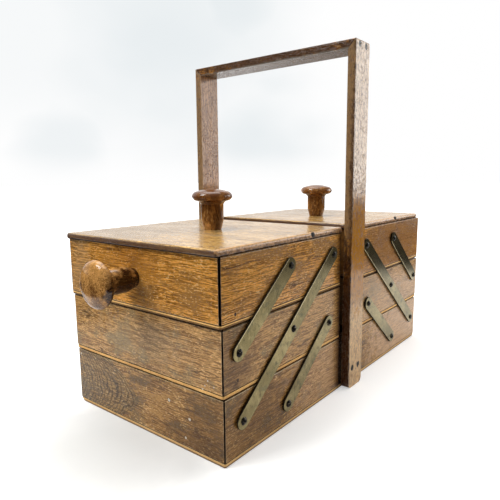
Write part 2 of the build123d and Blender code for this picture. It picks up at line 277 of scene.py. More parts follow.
def noise(tree, place, scale, detail, roughness=0.5):
    """Noise in three dimensions. The scale is in cells to the metre, one number for all axes or
    one for each."""
    scale = scale if isinstance(scale, tuple) else (scale,) * 3
    inputs = {"Vector": vector_maths(tree, "MULTIPLY", place, scale), "Scale": 1.0,
              "Detail": detail, "Roughness": roughness}
    return node(tree, "TexNoise", inputs).outputs


def mottle(tree, place, scale, detail, roughness=0.5):
    """The same noise as one number."""
    return noise(tree, place, scale, detail, roughness)[0]


def object_place(tree):
    """Object coordinates, which stay with a piece when it moves."""
    return node(tree, "TexCoord").outputs["Object"]


def group(name, inputs, outputs):
    """A new shader group with named sockets. Inputs are name: (kind, default)."""
    tree = bpy.data.node_groups.new(name, "ShaderNodeTree")
    kinds = {"value": "NodeSocketFloat", "colour": "NodeSocketColor", "vector": "NodeSocketVector"}
    for socket, (kind, default) in inputs.items():
        made = tree.interface.new_socket(socket, in_out="INPUT", socket_type=kinds[kind])
        made.default_value = (*default, 1.0) if kind == "colour" else default
    for socket, kind in outputs.items():
        tree.interface.new_socket(socket, in_out="OUTPUT", socket_type=kinds[kind])
    return tree, node(tree, "NodeGroupInput").outputs, node(tree, "NodeGroupOutput").inputs


def placed(tree, group_tree, **inputs):
    """A group placed in a material; underscores in the names stand for spaces."""
    made = node(tree, "Group", node_tree=group_tree)
    fill(tree, made.inputs, {name.replace("_", " "): value for name, value in inputs.items()})
    return made.outputs


def empty_tree(owner):
    """The node tree of a new material or world, with nothing in it."""
    owner.use_nodes = True
    owner.node_tree.nodes.clear()
    return owner.node_tree


def new_material(name):
    """A material with one surface, its tree and the surface's inputs."""
    material = bpy.data.materials.new(name)
    tree = empty_tree(material)
    surface = node(tree, "BsdfPrincipled")
    node(tree, "OutputMaterial", {0: surface.outputs[0]})
    return material, tree, surface.inputs


def relief(tree, height, strength, depth):
    """A bumped normal."""
    inputs = {"Height": height, "Strength": strength, "Distance": depth}
    return node(tree, "Bump", inputs).outputs[0]


def add_object(name, data):
    """A new object in the scene."""
    made = bpy.data.objects.new(name, data)
    bpy.context.scene.collection.objects.link(made)
    return made


# ---------------------------------------------------------------- shared groups

def make_edge_group():
    """Masks that follow a board's edges. The board is given by its two corners, the direction of
    its length and the direction its outer face looks in."""
    tree, given, out = group(
        "board edges",
        {"Place": ("vector", (0, 0, 0)), "Low": ("vector", (0, 0, 0)),
         "High": ("vector", (1, 1, 1)), "Along": ("vector", (1, 0, 0)),
         "Outwards": ("vector", (0, -1, 0)), "Reach": ("value", 0.0010),
         "Mitre": ("value", 0.0008)},
        {"Worn": "value", "Mitre": "value", "Height": "value", "Drop": "value", "Inset": "value"},
    )
    from_low = vector_maths(tree, "SUBTRACT", given["Place"], given["Low"])
    from_high = vector_maths(tree, "SUBTRACT", given["High"], given["Place"])
    near = split(tree, vector_maths(tree, "MINIMUM", from_low, from_high))
    inset = maths(tree, "MINIMUM", near[0], near[1])
    larger = maths(tree, "MAXIMUM", near[0], near[1])
    second = maths(tree, "MAXIMUM", inset, maths(tree, "MINIMUM", larger, near[2]))
    chips = mottle(tree, given["Place"], 260, 4, 0.7)
    reach = product(tree, given["Reach"], ramp(tree, chips, 0.3, 0.7, 0.2, 2.2))
    worn = maths(tree, "SUBTRACT", 1.0, maths(tree, "DIVIDE", second, reach), clamp=True)

    def dot(first, second):
        return measure(tree, "DOT_PRODUCT", first, second)

    end = maths(tree, "MINIMUM", dot(from_low, given["Along"]), dot(from_high, given["Along"]))
    backwards = vector_maths(tree, "MULTIPLY", given["Outwards"], (-1, -1, -1))
    depth = maths(
        tree, "ADD",
        dot(from_high, vector_maths(tree, "MAXIMUM", given["Outwards"], (0, 0, 0))),
        dot(from_low, vector_maths(tree, "MAXIMUM", backwards, (0, 0, 0))),
    )
    gap = maths(tree, "DIVIDE", maths(tree, "SUBTRACT", end, depth), given["Mitre"])
    gap = maths(tree, "ADD", gap, ramp(tree, chips, 0.3, 0.7, -0.3, 0.3))
    fill(tree, out, {
        "Worn": worn,
        "Mitre": ramp(tree, gap, 0.75, 1.35, 1.0, 0.0),
        "Height": split(tree, from_low)[2],
        "Drop": split(tree, from_high)[2],
        "Inset": inset,
    })
    return tree


def make_grain_group():
    """Open-grained wood. Place has X along the grain and Z through the board; the pith is its X
    axis."""
    tree, given, out = group(
        "open grain",
        {"Place": ("vector", (0, 0, 0)), "Wander": ("value", 0.006),
         "Pore share": ("value", 0.5)},
        {"Ring": "value", "Streak": "value", "Band": "value", "Pores": "value", "Lines": "value",
         "Cloud": "value", "Flecks": "value", "Specks": "value"},
    )

    def wobble(along, across, reach):
        centred = vector_maths(tree, "SUBTRACT",
                               noise(tree, given["Place"], (along, across, across), 2.0)[1],
                               (0.5, 0.5, 0.5))
        inputs = {0: centred, "Scale": reach}
        return node(tree, "VectorMath", inputs, operation="SCALE").outputs[0]

    drift = vector_maths(tree, "ADD", wobble(7, 17, given["Wander"]), wobble(34, 90, 0.0026))
    bent = vector_maths(tree, "ADD", given["Place"], drift)

    def stretched(along, across, detail=3.0, roughness=0.5, place=bent):
        return mottle(tree, place, (along, across, across), detail, roughness)

    parts = split(tree, bent)
    squares = [product(tree, part, part) for part in (parts[1], parts[2])]
    radius = maths(tree, "SQRT", maths(tree, "ADD", *squares))
    rings = maths(tree, "ADD", maths(tree, "DIVIDE", radius, RING_WIDTH),
                  product(tree, stretched(8, 45, 2.0), 2.6))
    ring = maths(tree, "FRACT", rings)
    early = product(tree, ramp(tree, ring, 0.10, 0.85, 1.0, 0.0), ramp(tree, ring, 0.0, 0.10))
    streak = maths(
        tree, "ADD",
        product(tree, stretched(60, 1400, 1.0, 0.6), 0.48),
        product(tree, stretched(15, 820, 2.0, 0.6), 0.36),
        product(tree, stretched(30, 400, 3.0, 0.6), 0.16),
    )
    vessels = maths(tree, "ADD", product(tree, stretched(170, 1250, 2.0, 0.5), 0.8),
                    product(tree, early, 0.05))
    limit = maths(tree, "SUBTRACT", 0.62, product(tree, given["Pore share"], 0.16))
    fold = maths(tree, "ABSOLUTE", maths(tree, "SUBTRACT", stretched(10, 55, 2.0), 0.5))
    where = ramp(tree, stretched(18, 40, 2.0, 0.5, given["Place"]), 0.50, 0.62)
    dust = stretched(320, 800, 2.0, 0.55, given["Place"])
    dusty = stretched(40, 60, 2.0, 0.5, given["Place"])
    fill(tree, out, {
        "Ring": early,
        "Streak": streak,
        "Band": stretched(9, 110, 3.0),
        "Pores": ramp(tree, maths(tree, "SUBTRACT", vessels, limit), -0.01, 0.05),
        "Lines": product(tree, ramp(tree, fold, 0.004, 0.016, 1.0, 0.0), where),
        "Cloud": stretched(24, 38, 4.0, 0.62, given["Place"]),
        "Flecks": product(tree, ramp(tree, dust, 0.57, 0.66),
                          ramp(tree, dusty, 0.36, 0.60, 0.35, 1.0)),
        "Specks": ramp(tree, dust, 0.45, 0.37),
    })
    return tree


def make_finish_group():
    """Colour, roughness and height of varnished wood from its grain and wear masks."""
    tree, given, out = group(
        "varnished wood",
        {"Ring": ("value", 0.5), "Streak": ("value", 0.5), "Band": ("value", 0.5),
         "Pores": ("value", 0), "Lines": ("value", 0), "Cloud": ("value", 0.5),
         "Flecks": ("value", 0), "Specks": ("value", 0), "Worn": ("value", 0),
         "Mitre": ("value", 0), "Pale": ("colour", OAK_PALE), "Deep": ("colour", OAK_DEEP),
         "Grey": ("colour", OAK_GREY), "Bare": ("colour", WORN_EDGE),
         "Ring strength": ("value", 0.2), "Streak strength": ("value", 1.2),
         "Pore strength": ("value", 0.5), "Cloud strength": ("value", 0.5),
         "Glint strength": ("value", 0.45), "Line strength": ("value", 0.7),
         "Speck strength": ("value", 0.3), "Gloss roughness": ("value", 0.2),
         "Pore roughness": ("value", 0.45)},
        {"Colour": "colour", "Roughness": "value", "Height": "value"},
    )

    def share(value, low, high, strength):
        return product(tree, ramp(tree, value, low, high, -0.5, 0.5), strength)

    shade = maths(
        tree, "ADD", 0.44,
        share(given["Streak"], 0.42, 0.58, given["Streak strength"]),
        share(given["Band"], 0.34, 0.66, 0.30),
        product(tree, given["Ring"], given["Ring strength"]),
        share(given["Cloud"], 0.33, 0.67, given["Cloud strength"]),
        clamp=True,
    )
    specks = product(tree, given["Specks"], given["Speck strength"])
    marks = maths(
        tree, "MAXIMUM",
        product(tree, given["Pores"], given["Pore strength"]),
        product(tree, given["Lines"], given["Line strength"]),
        specks,
    )
    colour = tint(tree, shade, given["Pale"], given["Deep"])
    faded = product(tree, ramp(tree, given["Cloud"], 0.50, 0.66), 0.7)
    colour = tint(tree, faded, colour, given["Grey"])
    colour = tint(tree, marks, colour, PORE)
    colour = tint(tree, product(tree, given["Flecks"], given["Glint strength"]), colour, GLINT)
    colour = tint(tree, product(tree, given["Worn"], 0.7), colour, given["Bare"])
    colour = tint(tree, given["Mitre"], colour, GRIME_AND_SHADE)
    pits = maths(tree, "MAXIMUM", given["Pores"], specks)
    spread = maths(tree, "SUBTRACT", given["Pore roughness"], given["Gloss roughness"])
    rough = maths(
        tree, "ADD", given["Gloss roughness"],
        product(tree, pits, spread),
        share(given["Cloud"], 0.35, 0.65, 0.10),
        share(given["Streak"], 0.36, 0.64, 0.06),
        product(tree, given["Mitre"], 0.6),
        clamp=True,
    )
    dips = maths(tree, "MAXIMUM", pits, product(tree, given["Lines"], 0.6))
    height = maths(tree, "SUBTRACT", product(tree, given["Streak"], 0.8), dips)
    fill(tree, out, {"Colour": colour, "Roughness": rough, "Height": height})
    return tree


EDGE = make_edge_group()
GRAIN = make_grain_group()
FINISH = make_finish_group()


# ---------------------------------------------------------------- materials

def dress(cad_node, material):
    """Gives a CAD piece its finish."""
    mesh = frame["nodes"][cad_node].data
    mesh.materials.clear()
    mesh.materials.append(material)


def grain_place(tree, spot, axes, offset, turn):
    """Object coordinates put in the wood's own order (along, across, through), moved and turned."""
    parts = split(tree, spot)
    swapped = node(tree, "CombineXYZ", {place: parts[axis] for place, axis in enumerate(axes)})
    inputs = {"Vector": swapped.outputs[0], "Location": offset, "Rotation": turn}
    return node(tree, "Mapping", inputs).outputs[0]


def oval(tree, spot, centre, radii):
    """Distance from a centre, as a share of the radii."""
    away = vector_maths(tree, "DIVIDE", vector_maths(tree, "SUBTRACT", spot, centre), radii)
    return measure(tree, "LENGTH", away)


def stain(tree, spot, centre, radii, strength):
    """A soft patch with an uneven edge."""
    uneven = ramp(tree, mottle(tree, spot, 110, 4, 0.7), 0.3, 0.7, -0.35, 0.35)
    away = maths(tree, "ADD", oval(tree, spot, centre, radii), uneven)
    return ramp(tree, away, 0.55, 1.25, strength, 0.0)


def nested_arcs(tree, spot, start, middle, length):
    """Arcs nested one in another across a board in the YZ plane, as where a log is cut close to a
    knot: near one end of the board they are flat, further along they come to a point."""
    parts = split(tree, spot)
    inwards = maths(tree, "SUBTRACT", start, parts[1])
    rise = maths(tree, "DIVIDE", maths(tree, "SUBTRACT", parts[2], middle), ARC_HALF_HEIGHT)
    bow = maths(tree, "ADD", ARC_BOW, product(tree, inwards, ARC_BOW_GROWTH))
    rings = maths(tree, "ADD", inwards, product(tree, rise, rise, bow))
    rings = maths(
        tree, "ADD", maths(tree, "DIVIDE", rings, ARC_SPACING),
        ramp(tree, mottle(tree, spot, (0, 150, 150), 3, 0.7), 0.25, 0.75, -0.30, 0.30),
        ramp(tree, mottle(tree, spot, (0, 26, 26), 2), 0.25, 0.75, -0.9, 0.9),
    )
    ring = maths(tree, "FRACT", rings)
    line = product(tree, ramp(tree, ring, 0.0, 0.10), ramp(tree, ring, 0.14, 0.50, 1.0, 0.0))
    last = length / ARC_SPACING
    field = ramp(tree, rings, last - 1.0, last, 1.0, 0.0)
    broken = ramp(tree, mottle(tree, spot, (0, 60, 60), 3, 0.6), 0.3, 0.6, 0.7, 1.0)
    shown = product(tree, field, broken)
    return product(tree, line, shown), product(tree, field, 0.8)


def stained(tree, colour, spot, grain, specks, patches):
    """Colour with soft patches, sunk in so that the grain and its pores still show."""
    dents = maths(tree, "MAXIMUM", grain["Pores"], product(tree, grain["Specks"], specks))
    grip = product(tree, ramp(tree, grain["Streak"], 0.42, 0.58, 1.0, 0.6),
                   maths(tree, "SUBTRACT", 1.0, product(tree, dents, 0.8)))
    for centre, radii, shade, strength in patches:
        spread = product(tree, stain(tree, spot, centre, radii, strength), grip)
        colour = tint(tree, spread, colour, shade, "MULTIPLY" if shade is DARKER else "MIX")
    return colour


def lined(tree, colour, rough, band, shade):
    """Colour and roughness with a band laid over them; a band of grime and painted shade is matt.
    """
    if shade is GRIME_AND_SHADE:
        rough = maths(tree, "MAXIMUM", rough, band)
    return tint(tree, band, colour, shade), rough


def dress_wood(cad_node, kind, order, pale, deep, seed, grey=OAK_GREY, pith=(0.1, 0.05),
               wander=0.010, ring_strength=0.15, streak_strength=1.3, cloud=0.35,
               pore_strength=0.4, pore_share=0.5, gloss=0.2, pore_gloss=0.45, bump=0.3,
               bare=WORN_EDGE, reach=0.0008, outwards=(0, 0, 1), mitre=0.0, layers=(), rim=None,
               soot=(), patches=(), late_patches=(), glints=0.6, specks=0.3, lines=0.7,
               figure=None, specular=0.5, inside=None):
    """Gives one piece a wood finish, with its grain shifted so that no two pieces match.

    The order names the axes along the grain, across it and through the board. Layers are bands by
    height above the piece's foot: (from, to, colour, strength). A rim is a depth below its top, a
    colour and a strength. Bands of painted shade, (axis, from, to, colour, strength), set in
    between two distances from the middle of the carrier along an axis. Patches are soft patches of
    colour,
    some of them painted light and shade: (centre, reach, colour, strength); late patches lie over
    the layers. A figure is a nest of arcs across an end board: (where it starts, its middle height,
    length). Inside is the colour of a base within its box."""
    low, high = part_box(cad_node)
    middle = (low + high) / 2
    chance = random.Random(seed)
    axes = ["xyz".index(axis) for axis in order]
    offset = (chance.uniform(-GRAIN_SHIFT, GRAIN_SHIFT) - middle[axes[0]],
              pith[0] + chance.uniform(-PITH_SHIFT, PITH_SHIFT) - middle[axes[1]],
              pith[1] - middle[axes[2]])
    turn = (0, GRAIN_LEAN, chance.uniform(-GRAIN_SKEW, GRAIN_SKEW))
    material, tree, surface = new_material(f"{cad_node} {kind}")
    spot = object_place(tree)
    grain = placed(tree, GRAIN, Place=grain_place(tree, spot, axes, offset, turn),
                   Wander=wander, Pore_share=pore_share)
    along = [float(axis == axes[0]) for axis in range(3)]
    edge = placed(tree, EDGE, Place=spot, Low=low, High=high, Along=along, Outwards=outwards,
                  Reach=reach, Mitre=max(mitre, NO_WIDTH))
    masks = {mask.name: mask for mask in grain}
    if mitre:
        masks["Mitre"] = edge["Mitre"]
    finish = placed(
        tree, FINISH, Worn=edge["Worn"], Pale=pale, Deep=deep, Grey=grey, Bare=bare,
        Ring_strength=ring_strength, Streak_strength=streak_strength,
        Pore_strength=pore_strength, Cloud_strength=cloud, Glint_strength=glints,
        Line_strength=lines, Speck_strength=specks, Gloss_roughness=gloss,
        Pore_roughness=pore_gloss, **masks,
    )
    colour, rough = finish["Colour"], finish["Roughness"]
    if figure:
        arcs, field = nested_arcs(tree, spot, *figure)
        colour = tint(tree, field, colour, FIELD_GREY, "MULTIPLY")
        colour = tint(tree, arcs, colour, ARC_DARK)
    colour = stained(tree, colour, spot, grain, specks, patches)
    if inside:
        colour = tint(tree, ramp(tree, edge["Inset"], *INSIDE_FADE, 0.0, 0.8), colour, inside)
    for start, stop, shade, strength in layers:
        rise = ramp(tree, edge["Height"], start - LAYER_BLUR, start + LAYER_BLUR)
        fall = ramp(tree, edge["Height"], stop - LAYER_BLUR, stop + LAYER_BLUR, strength, 0.0)
        band = product(tree, rise, fall)
        if inside:
            band = product(tree, band, ramp(tree, edge["Inset"], *INSIDE_FADE, 1.0, 0.0))
        colour, rough = lined(tree, colour, rough, band, shade)
    for centre, radii, shade, strength in late_patches:
        gaps = ramp(tree, mottle(tree, spot, 500, 3, 0.6), 0.40, 0.52, 0.25, 1.0)
        spread = product(tree, stain(tree, spot, centre, radii, strength), gaps)
        colour = tint(tree, spread, colour, shade)
    if rim:
        depth, shade, strength = rim
        band = product(tree, ramp(tree, edge["Drop"], *RIM_START),
                       ramp(tree, edge["Drop"], depth * 0.7, depth * 1.3, strength, 0.0))
        colour, rough = lined(tree, colour, rough, band, shade)
    for axis, start, stop, shade, strength in soot:
        sideways = maths(tree, "ABSOLUTE", split(tree, spot)[axis])
        colour = tint(tree, ramp(tree, sideways, start, stop, 0.0, strength), colour, shade)
    fill(tree, surface, {
        "Base Color": colour,
        "Roughness": rough,
        "Specular IOR Level": specular,
        "IOR": 1.5,
        "Normal": relief(tree, finish["Height"], bump, BUMP_DEPTH),
    })
    dress(cad_node, material)


def brass_finish(arm):
    """Tarnished flat brass strip: pale rubbed faces, dark blotches, side faces near-black from
    tarnish and painted shade, and a painted highlight along one long arris. It is darker higher up
    and towards the right."""
    low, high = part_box(arm)
    run = high - low - Vector((ARM_WIDTH, 0, ARM_WIDTH))
    lean = 1 if arm.startswith("left") else -1
    outer = Vector((-run[2], 0, lean * run[0])).normalized()
    material, tree, surface = new_material(arm + " brass")
    spot = object_place(tree)
    parts = split(tree, spot)
    from_middle = vector_maths(tree, "SUBTRACT", spot, (low + high) / 2)
    across = measure(tree, "DOT_PRODUCT", from_middle, outer)
    arris = ramp(tree, across, *(ARM_WIDTH / 2 - inset for inset in ARM_ARRIS_HIGHLIGHT))
    arris = product(tree, arris, ramp(tree, parts[2], 0.07, 0.12, 0.10, 0.75))
    edge = ramp(tree, maths(tree, "ABSOLUTE", parts[1]), *ARM_EDGE_FADE, 1.0, 0.0)
    upper = product(tree, ramp(tree, parts[2], 0.084, 0.128),
                    ramp(tree, parts[0], -0.13, 0.05, 0.22, 1.0))
    broad = mottle(tree, spot, 45, 4, 0.6)
    patina = mottle(tree, spot, (70, 70, 130), 5, 0.75)
    fine = mottle(tree, spot, (240, 240, 150), 4, 0.65)
    specks = mottle(tree, spot, 900, 2)
    colour = tint(tree, ramp(tree, broad, 0.35, 0.65), BRASS_PALE, BRASS_DULL)
    for mask, shade in (
        (ramp(tree, patina, 0.54, 0.64, 0.0, 0.6), BRASS_GREEN),
        (ramp(tree, fine, 0.54, 0.66, 0.0, 0.6), BRASS_DARK),
        (ramp(tree, fine, 0.44, 0.34, 0.0, 0.4), BRASS_RUBBED),
        (ramp(tree, specks, 0.66, 0.72, 0.0, 0.6), BRASS_DARK),
        (product(tree, upper, 0.88), BRASS_SMOKED),
        # painted highlight along the arris
        (arris, BRASS_ARRIS_HIGHLIGHT),
        # side faces: tarnish and painted shade
        (product(tree, edge, 0.95), GRIME_AND_SHADE),
    ):
        colour = tint(tree, mask, colour, shade)
    rough = maths(tree, "ADD", 0.08, product(tree, fine, 0.22),
                  product(tree, edge, 0.5))
    fill(tree, surface, {
        "Base Color": colour,
        "Roughness": rough,
        "Metallic": 0.85,
        "Normal": relief(tree, fine, 0.25, BUMP_DEPTH / 2),
    })
    return material


def steel_finish():
    """Blackened screws with painted glints in random patches."""
    material, tree, surface = new_material("darkened screws")
    fine = mottle(tree, object_place(tree), 600, 4, 0.6)
    fill(tree, surface, {
        "Base Color": tint(tree, ramp(tree, fine, 0.53, 0.70), STEEL_DARK, STEEL_GLINT),
        "Roughness": maths(tree, "ADD", 0.22, product(tree, fine, 0.3)),
        "Metallic": 1.0,
    })
    return material


def dress_carcase():
    """Front, rear and end boards and the bases of all five boxes."""
    boxes = {f"{side}_top_tray": "top" for side in SIDES}
    boxes.update({f"{side}_middle_tray": "middle" for side in SIDES})
    boxes["bottom_box"] = "bottom"
    tones = {"top": (OAK_PALE, OAK_DEEP, OAK_GREY),
             "middle": (MIDDLE_PALE, MIDDLE_DEEP, MIDDLE_GREY),
             "bottom": (BOTTOM_PALE, BOTTOM_DEEP, BOTTOM_GREY)}
    # The grime-and-shade bands at a base's foot and top are painted shade, of the gap below it and
    # the groove under its boards; the thin ones between the plies are glue lines.
    ply_layers = {
        "top": ((-0.001, 0.0019, PLY_BROWN, 0.75), (0.0019, 0.0023, GRIME_AND_SHADE, 0.95),
                (0.0023, 0.0034, PLY_BRIGHT, 0.65), (-0.001, 0.0010, GRIME_AND_SHADE, 1.0),
                (0.0035, 0.0050, GRIME_AND_SHADE, 0.9)),
        "middle": ((0.0018, 0.0034, PLY_BRIGHT, 0.4), (-0.001, 0.0010, GRIME_AND_SHADE, 1.0),
                   (0.0036, 0.0050, GRIME_AND_SHADE, 0.9)),
        "bottom": ((-0.001, 0.0014, PLY_BROWN, 0.85), (0.0014, 0.0018, GRIME_AND_SHADE, 0.5),
                   (0.0019, 0.0036, PLY_BRIGHT, 0.45), (0.0037, 0.0050, GRIME_AND_SHADE, 0.9)),
    }
    # The trays' rims are painted shade of the gaps above them; the bottom box's rim is worn paler.
    rims = {"left_top_tray": (0.0004, GRIME_AND_SHADE, 1.0), "right_top_tray": (0.0004, GRIME_AND_SHADE, 0.9),
            "left_middle_tray": (0.0005, GRIME_AND_SHADE, 0.9), "right_middle_tray": (0.0005, GRIME_AND_SHADE, 0.9),
            "bottom_box": (0.0006, WORN_EDGE, 0.35)}
    stains_and_painted_light = {
        "left_top_tray_outer_end": (
            # painted shadow of the end knob
            ((-0.212, -0.012, 0.137), (0.01, 0.020, 0.012), END_KNOB_SHADOW, 0.35),
            ((-0.212, 0.010, 0.155), (0.01, 0.045, 0.022), HONEY, 0.45),
            ((-0.212, 0.085, 0.140), (0.01, 0.020, 0.040), WORN_EDGE, 0.25)),
        "left_middle_tray_outer_end": (
            ((-0.210, 0.000, 0.090), (0.01, 0.060, 0.020), WORN_EDGE, 0.22),),
        "bottom_box_left_end": (
            ((-0.209, 0.005, 0.047), (0.01, 0.020, 0.004), ARC_DARK, 0.55),
            ((-0.209, -0.070, 0.010), (0.01, 0.045, 0.014), DARKER, 1.2),
            ((-0.209, -0.090, 0.030), (0.01, 0.030, 0.040), DARKER, 1.2)),
        "left_middle_tray_front": (((-0.195, -0.102, 0.085), (0.030, 0.01, 0.050), DARKER, 1.3),),
        "bottom_box_front": (
            ((-0.190, -0.102, 0.020), (0.090, 0.01, 0.045), DARKER, 1.3),
            ((-0.060, -0.102, 0.030), (0.060, 0.01, 0.050), ROSY, 0.4),
            ((0.150, -0.102, 0.028), (0.095, 0.01, 0.050), ROSY, 0.90)),
        "right_middle_tray_front": (((0.130, -0.102, 0.085), (0.10, 0.01, 0.050), ROSY, 0.45),),
        "right_top_tray_front": (((0.130, -0.102, 0.145), (0.11, 0.01, 0.050), ROSY_DEEP, 0.75),),
    }
    mitres = {"top": 0.0006, "middle": 0.0004, "bottom": 0.00035}
    seeds = count(FIRST_SEEDS["carcase"])
    for box, level in boxes.items():
        pale, deep, grey = tones[level]
        ends = ("left_end", "right_end") if level == "bottom" else ("inner_end", "outer_end")
        for board in ("front", "rear", *ends):
            cad_node = f"{box}_{board}"
            low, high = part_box(cad_node)
            look = {"rim": rims[box], "mitre": mitres[level], "patches": stains_and_painted_light.get(cad_node, ()),
                    "pith": (0.07, 0.06), "specular": 0.25}
            if board in FACES:
                order = "xzy"
                # painted shade and dark reflection of the handle posts beside them
                look.update(outwards=(0, FACES[board], 0), soot=POST_SHADE)
            else:
                order = "yzx"
                side = 1 if low[0] + high[0] > 0 else -1
                look["outwards"] = (-side if board == "inner_end" else side, 0, 0)
            # the right tray's inner end is painted dark as shade in the gap between the trays
            if board == "inner_end" and box.startswith("right"):
                look["soot"] = INNER_END_SHADE
            if level == "bottom" and board in ends:
                look["figure"] = END_ARCS
            if box.startswith("right"):
                look.update(streak_strength=0.9, pore_strength=0.25, cloud=0.2)
            dress_wood(cad_node, "oak", order, pale, deep, next(seeds), grey, **look)
        pale, deep = (BASE_PALE, BASE_DEEP) if level == "bottom" else (PLY_PALE, PLY_DEEP)
        dress_wood(box + "_base", "plywood", "xyz", pale, deep, next(seeds), deep,
                   pith=(0.3, 0.3), ring_strength=0.0, streak_strength=0.3, pore_strength=0.2,
                   cloud=0.3, gloss=0.55, pore_gloss=0.6, glints=0.0, bare=pale, specular=0.2,
                   # painted shade at the bases' inner ends, in the gap between the trays
                   soot=BASE_GAP_SHADE if level != "bottom" else (), inside=INSIDE,
                   layers=ply_layers[level])


def dress_lids():
    """The lids with their cleats, their knobs and the knobs on the end boards below them."""
    for seed, (side, way) in enumerate(SIDES.items(), FIRST_SEEDS["lids"]):
        lid = side + "_lid"
        place = way * KNOB_PLACES[side]
        low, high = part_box(lid)
        top = high[2]
        front = (((low[0] + high[0]) / 2, low[1], top - 0.0008), (0.30, 0.003, 0.0040),
                 LID_FRONT, 0.85)
        far = ((way * 0.170, 0.070, top), (0.12, 0.085, 0.002), LID_FAR, 0.7)
        # painted shade on the lid in front of the knob's foot
        foot = ((place, -0.016, top), (0.020, 0.014, 0.002), LID_FAR, 0.5)
        dress_wood(lid, "polish", "yxz", LID_PALE, LID_DEEP, seed, LID_GREY, pith=(0.05, 0.03),
                   streak_strength=1.2, cloud=0.5, pore_strength=0.6, pore_share=0.7,
                   gloss=0.16, pore_gloss=0.34, bump=0.5, bare=LID_EDGE, reach=0.0004,
                   glints=0.4, specks=0.6, lines=0.1, specular=0.45, patches=(far, foot),
                   # the lowest band is painted shade under the lid's edge
                   layers=((-0.001, 0.0050, LID_SIDE, 0.83), (-0.001, 0.0011, GRIME_AND_SHADE, 1.0)),
                   late_patches=(front,))
        dress_wood(lid + "_cleats", "oak", "yxz", OAK_PALE, OAK_DEEP, seed + CLEAT_SEED_STEP)
        knobs = {
            side + "_lid_knob": ("zxy", (
                # the first and last patches are painted shade, on the neck's front and under the
                # head; the middle one is the head's darker wood
                ((place - 0.001, -0.013, 0.194), (0.0055, 0.006, 0.017), KNOB_SHADE, 0.6),
                ((place, 0.0, 0.217), (0.030, 0.030, 0.0120), KNOB_HEAD, 0.95),
                ((place, 0.0, 0.209), (0.022, 0.022, 0.0035), KNOB_SHADE, 0.6))),
            side + "_end_knob": ("xyz", (
                # painted shade on the neck, which is also darker wood, at the foot and on the far
                # rim
                ((way * 0.227, 0.002, 0.139), (0.020, 0.03, 0.0175), KNOB_SHADE, 1.5),
                ((way * 0.214, 0.002, 0.1455), (0.003, 0.03, 0.02), KNOB_SHADE, 1.3),
                ((way * 0.243, -0.018, 0.140), (0.011, 0.011, 0.026), KNOB_SHADE, 1.2))),
        }
        for knob, (order, patches) in knobs.items():
            seed += KNOB_SEED_STEP
            dress_wood(knob, "polish", order, KNOB_PALE, KNOB_DEEP, seed, KNOB_DEEP,
                       pith=(0.03, 0.02), wander=0.03, ring_strength=0.1, streak_strength=0.7,
                       cloud=0.9, pore_strength=0.5, gloss=0.09, pore_gloss=0.14, bump=0.05,
                       reach=NO_WIDTH, patches=patches, glints=0.2, specular=0.4)


def dress_handle():
    """The two posts, the crossbar and the packings behind the posts."""
    looks = {"handle_front_post": ("zxy", (0, -1, 0)), "handle_rear_post": ("zxy", (0, 1, 0)),
             "handle_crossbar": ("yxz", (0, 0, 1)), "handle_packings": ("zxy", (0, -1, 0))}
    stains_and_painted_light = {
        "handle_front_post": (
            # front face: painted reflection at the foot and top, the wood's gold between
            ((0.0, -0.1114, 0.050), (0.05, 0.0015, 0.068), POST_FOOT_SHEEN, 0.85),
            ((0.0, -0.1114, 0.300), (0.05, 0.0015, 0.105), POST_TOP_SHEEN, 0.80),
            ((0.0, -0.1114, 0.150), (0.05, 0.0015, 0.060), POST_GOLD, 1.15),
            # left face: painted shading above, painted shade in the nook below
            ((-0.0154, -0.105, 0.290), (0.0015, 0.020, 0.130), POST_SIDE_SHADE, 1.2),
            ((-0.0154, -0.107, 0.050), (0.0015, 0.012, 0.100), POST_NOOK_SHADE, 1.2),
            ((-0.0154, -0.1114, 0.230), (0.0015, 0.0038, 0.130), HANDLE_DARK, 1.0)),
        "handle_rear_post": (
            # painted reflection at the foot and on the inner face, painted shading on the left face
            ((0.0, 0.1114, 0.060), (0.05, 0.0015, 0.050), POST_FOOT_SHEEN, 0.55),
            ((-0.0154, 0.107, 0.270), (0.0015, 0.020, 0.150), POST_SIDE_SHADE, 1.2),
            ((0.0, 0.1026, 0.270), (0.05, 0.0015, 0.150), REAR_POST_SHEEN, 0.6)),
        "handle_crossbar": (
            ((-0.0154, -0.010, 0.364), (0.0030, 0.120, 0.010), HANDLE_DARK, 1.1),
            # painted reflection of the floor on the underside
            ((0.0, 0.0, 0.3596), (0.05, 0.150, 0.0015), CROSSBAR_UNDER_SHEEN, 1.0)),
        # the packings are painted near-black as the shadow in the gap behind the posts
        "handle_packings": (((0.0, 0.0, 0.09), (0.1, 0.4, 0.4), GRIME_AND_SHADE, 0.95),),
    }
    for seed, (cad_node, (order, outwards)) in enumerate(looks.items(), FIRST_SEEDS["handle"]):
        dress_wood(cad_node, "oak", order, HANDLE_PALE, HANDLE_DEEP, seed, HANDLE_GREY,
                   pith=(0.05, 0.06), ring_strength=0.35, streak_strength=1.7, pore_share=0.7,
                   pore_strength=0.8, glints=0.3, specks=0.9, specular=0.4, gloss=0.15,
                   pore_gloss=0.5, bump=0.5, reach=0.0004, outwards=outwards,
                   mitre=0.0007 if cad_node == "handle_crossbar" else 0.0,
                   patches=stains_and_painted_light[cad_node])


def dress_metal():
    """The arms, one finish each, and the screws, which share one."""
    steel = steel_finish()
    for cad_node in frame["nodes"]:
        if cad_node.endswith("_arm"):
            dress(cad_node, brass_finish(cad_node))
        elif "screw" in cad_node:
            dress(cad_node, steel)


# ---------------------------------------------------------------- small marks

